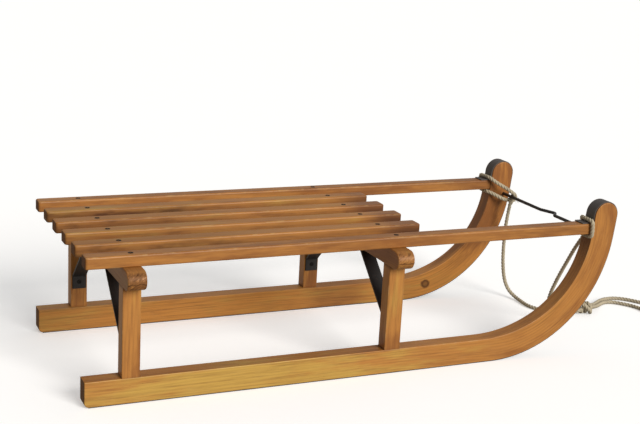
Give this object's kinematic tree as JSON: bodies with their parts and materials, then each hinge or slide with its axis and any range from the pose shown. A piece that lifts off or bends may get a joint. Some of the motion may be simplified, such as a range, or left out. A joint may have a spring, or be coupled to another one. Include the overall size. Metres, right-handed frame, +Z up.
{
  "type": "wooden sled",
  "caption": "Slatted wooden sled with bent runners shod in steel strip, braced cross-members, a kinked tie rod between the raked horns and a pull rope.",
  "frame": {"origin": "on the floor under the middle of the sled, cords left out", "axes": "+X forward to the horns, +Y to the rider's left, +Z up"},
  "size_m": [1.0216, 0.362, 0.232],
  "materials": {
    "wood": "clear varnish, satin",
    "steel": "thin dark grey paint, satin",
    "rope": "twisted natural fibre, matte"
  },
  "bodies": {
    "root": {"runner_right": "wood", "runner_left": "wood", "sole_strip_right": "steel", "sole_strip_left": "steel", "post_rear_right": "wood", "post_rear_left": "wood", "post_front_right": "wood", "post_front_left": "wood", "cross_member_rear": "wood", "cross_member_front": "wood", "brace_rear": "steel", "brace_front": "steel", "rail_right": "wood", "rail_left": "wood", "slat_1": "wood", "slat_2": "wood", "slat_3": "wood", "slat_4": "wood", "tie_rod": "steel", "rope_lashing_right": "rope", "rope_lashing_left": "rope", "rope_strand_right": "rope", "rope_strand_left": "rope", "rope_knot": "rope", "rope_hand_loop": "rope"}
  },
  "joints": []
}
